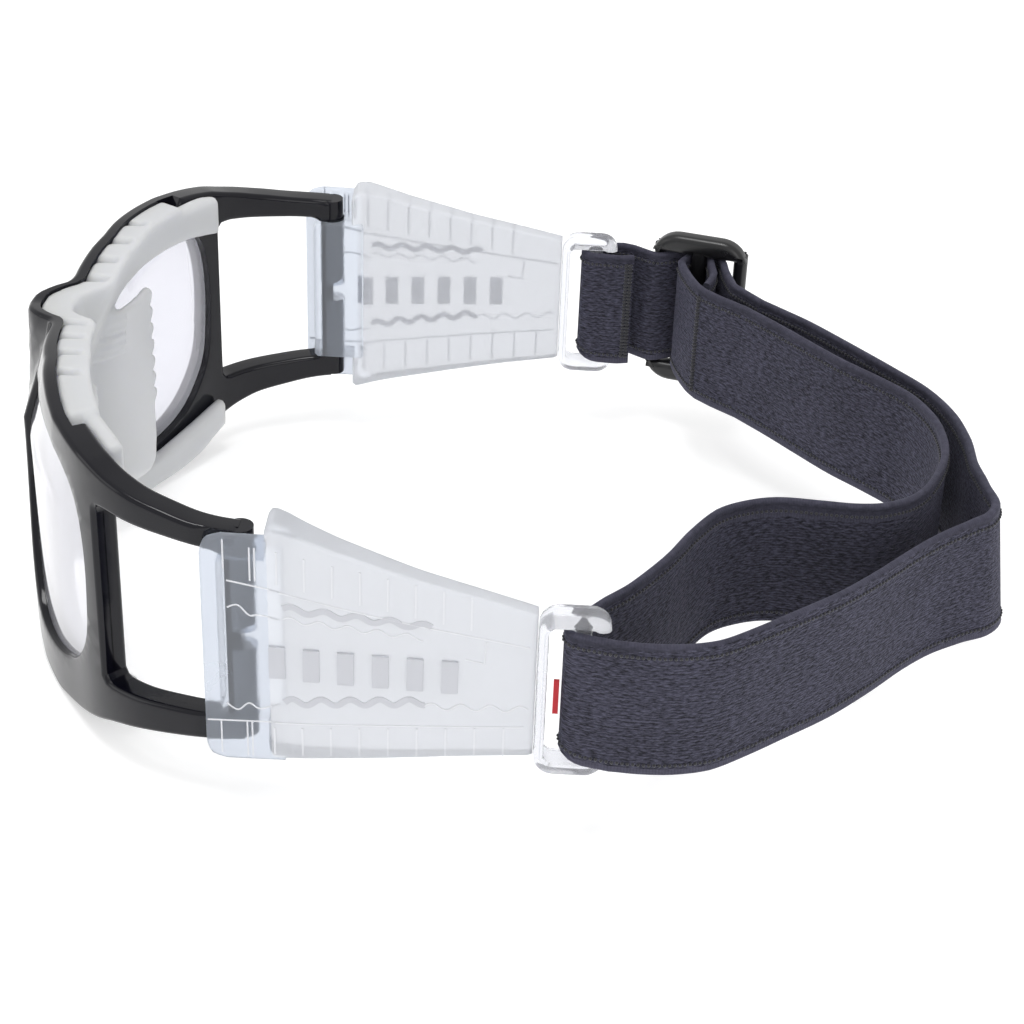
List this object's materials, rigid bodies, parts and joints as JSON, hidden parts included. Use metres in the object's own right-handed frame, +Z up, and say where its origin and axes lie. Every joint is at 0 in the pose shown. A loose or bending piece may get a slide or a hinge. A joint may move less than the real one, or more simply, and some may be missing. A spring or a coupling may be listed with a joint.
{
  "type": "sports protective goggles",
  "caption": "Wrap sports goggles with clear lenses, a soft face pad, swinging temples, clear buckles and an elastic head strap with a slider.",
  "frame": {"origin": "middle of the bounding box, on its bottom face, under the lower rims' feet", "axes": "+Z up, the goggles face -Y, the strap is towards +Y, and the wearer's left is +X"},
  "size_m": [0.1478, 0.1759, 0.0598],
  "materials": {
    "frame_black": "polished black polycarbonate",
    "lens_clear": "clear polycarbonate, polished",
    "pad_silicone": "translucent white silicone, satin",
    "temple_tpu": "frosted clear flexible plastic, satin with engraved lines",
    "buckle_clear": "clear polished plastic",
    "strap_knit": "dark blue-grey knitted elastic",
    "slider_black": "black moulded plastic, satin gloss",
    "thread": "dark sewing thread",
    "label_red": "plain red woven tape"
  },
  "bodies": {
    "frame": {"front_frame": "frame_black", "lens_left": "lens_clear", "lens_right": "lens_clear", "face_pad": "pad_silicone", "strap_rear_outer": "strap_knit", "strap_rear_inner": "strap_knit"},
    "left_temple": {"temple_left": "temple_tpu", "buckle_left": "buckle_clear", "strap_left_loop": "strap_knit", "side_label": "label_red"},
    "right_temple": {"temple_right": "temple_tpu", "buckle_right": "buckle_clear", "strap_right_outer": "strap_knit", "strap_right_inner": "strap_knit", "strap_right_loop": "strap_knit", "seam_right_loop": "thread"},
    "strap_slider": {"slider": "slider_black", "strap_slider_pass": "strap_knit", "strap_slider_loop": "strap_knit", "seam_slider_loop": "thread"}
  },
  "joints": [
    {"name": "left_temple_swing", "type": "hinge", "parent": "frame", "child": "left_temple", "pos_m": [0.0632, -0.0405, 0.032], "axis": [0, 0, 1], "range_deg": [-6, 10], "stiffness_Nm_per_rad": 0.12},
    {"name": "right_temple_swing", "type": "hinge", "parent": "frame", "child": "right_temple", "pos_m": [-0.0632, -0.0405, 0.032], "axis": [0, 0, 1], "range_deg": [-10, 6], "stiffness_Nm_per_rad": 0.12},
    {"name": "slider_travel", "type": "slide", "parent": "right_temple", "child": "strap_slider", "axis": [0.4226, 0.9063, 0], "range_m": [-0.0025, 0.006]}
  ]
}
